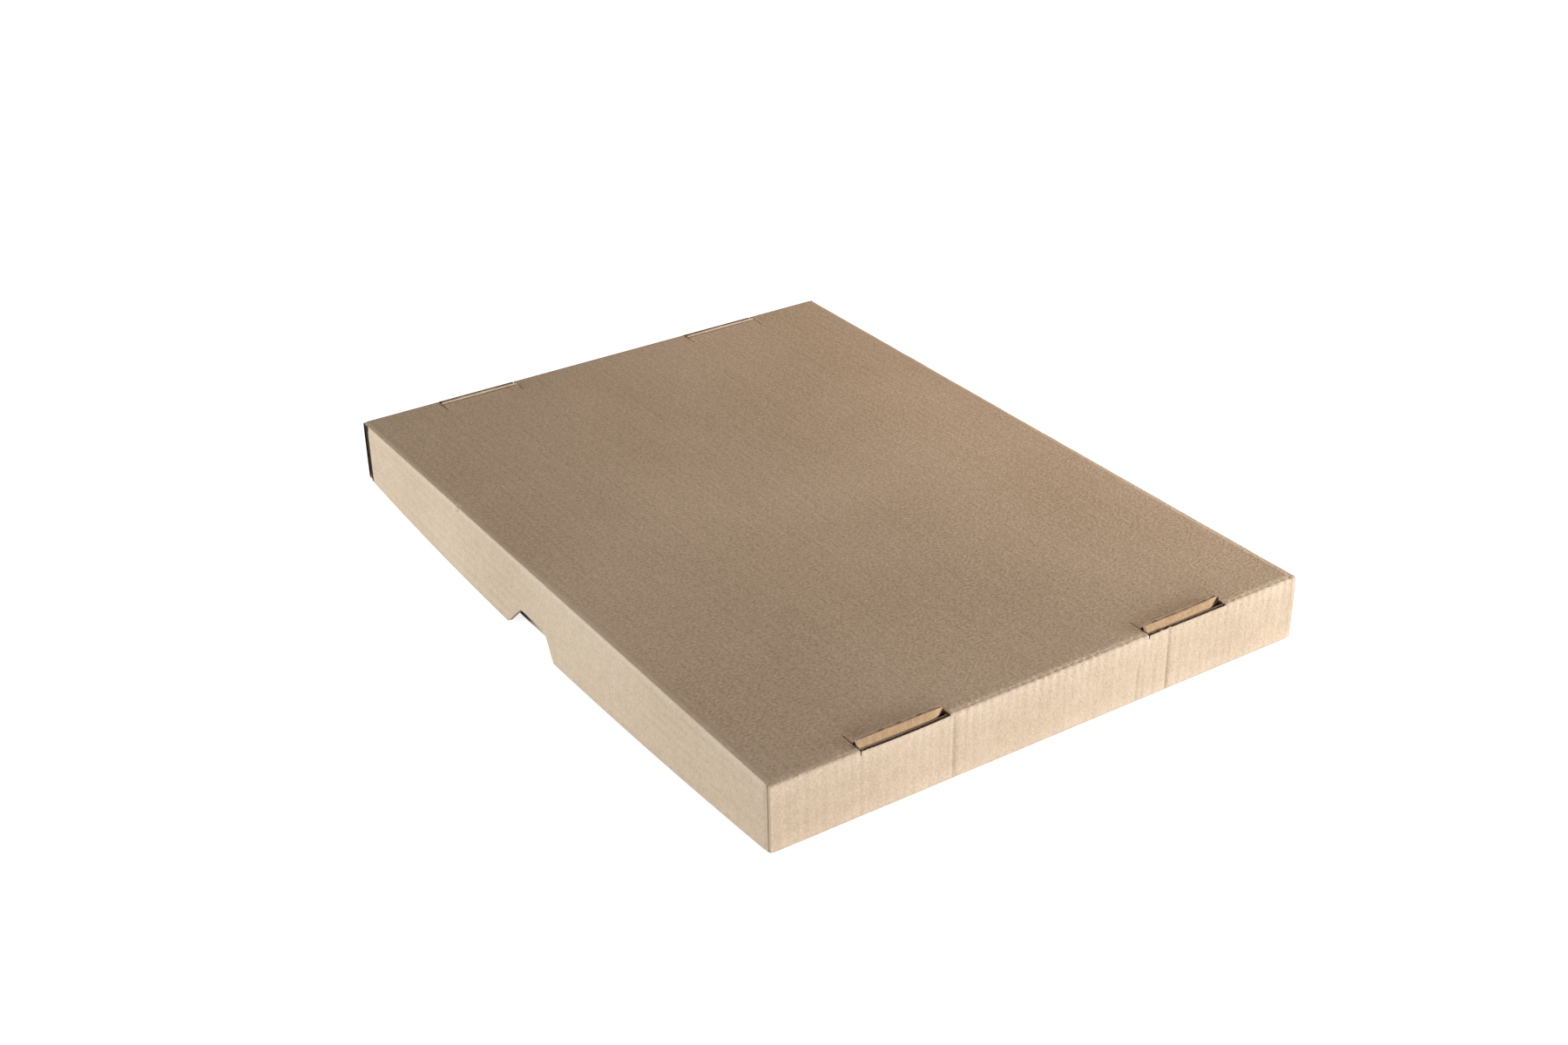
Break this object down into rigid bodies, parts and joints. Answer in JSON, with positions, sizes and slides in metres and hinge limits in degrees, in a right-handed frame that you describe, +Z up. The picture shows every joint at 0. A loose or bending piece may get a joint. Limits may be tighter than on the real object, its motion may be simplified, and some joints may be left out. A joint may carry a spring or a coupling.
{
  "type": "telescoping box",
  "caption": "Flat telescoping box of corrugated board: a full-depth lid with thumb notches and tabbed, rolled ends slides down over a matching tray that holds flat goods.",
  "frame": {"origin": "centre of the tray's underside, on the surface that the box stands on", "axes": "+X across the box, +Y along its length, +Z up, the way the lid lifts off"},
  "size_m": [0.2278, 0.304, 0.028],
  "materials": {
    "board": "matte unbleached kraft liner with flute lines showing through"
  },
  "bodies": {
    "tray": {"tray": "board"},
    "lid": {"lid": "board"}
  },
  "joints": [
    {"name": "lid_lift", "type": "slide", "parent": "tray", "child": "lid", "axis": [0, 0, 1], "range_m": [0, 0.08]}
  ]
}
